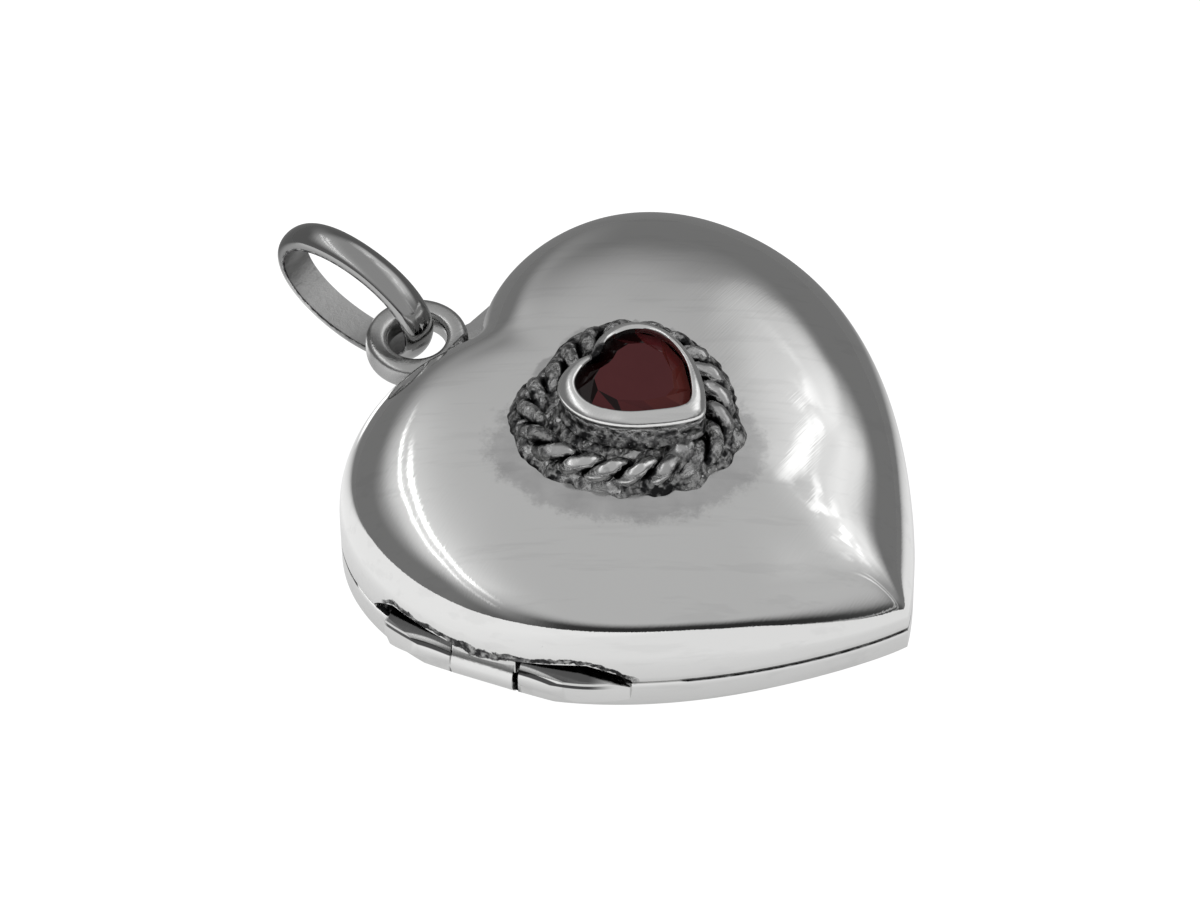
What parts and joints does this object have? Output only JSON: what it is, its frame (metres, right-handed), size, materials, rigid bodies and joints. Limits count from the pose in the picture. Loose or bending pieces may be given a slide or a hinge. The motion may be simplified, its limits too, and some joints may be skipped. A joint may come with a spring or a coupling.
{
  "type": "heart locket",
  "caption": "Puffed silver heart locket with a heart-cut garnet in a rope-bordered bezel; its front half opens on a side hinge and an oval bail swings in the eyelet.",
  "frame": {"origin": "on the flat of the back, under the middle of the heart", "axes": "+Z out of the front, towards the stone; +Y from the heart's tip towards the bail; the hinge is on the -X side"},
  "size_m": [0.0293, 0.0387, 0.0119],
  "materials": {
    "silver": "polished and lightly worn, blackened round the setting",
    "garnet": "polished facets"
  },
  "bodies": {
    "back": {"back_half": "silver", "hinge_pin": "silver"},
    "front": {"front_half": "silver", "garnet": "garnet"},
    "bail": {"bail": "silver"}
  },
  "joints": [
    {"name": "front_hinge", "type": "hinge", "parent": "back", "child": "front", "pos_m": [-0.013, 0.0016, 0.00238], "axis": [0.2588, -0.9659, 0], "range_deg": [0, 95]},
    {"name": "bail_swing", "type": "hinge", "parent": "back", "child": "bail", "pos_m": [0, 0.0184, 0.00504], "axis": [1, 0, 0], "range_deg": [-100, 105]}
  ]
}
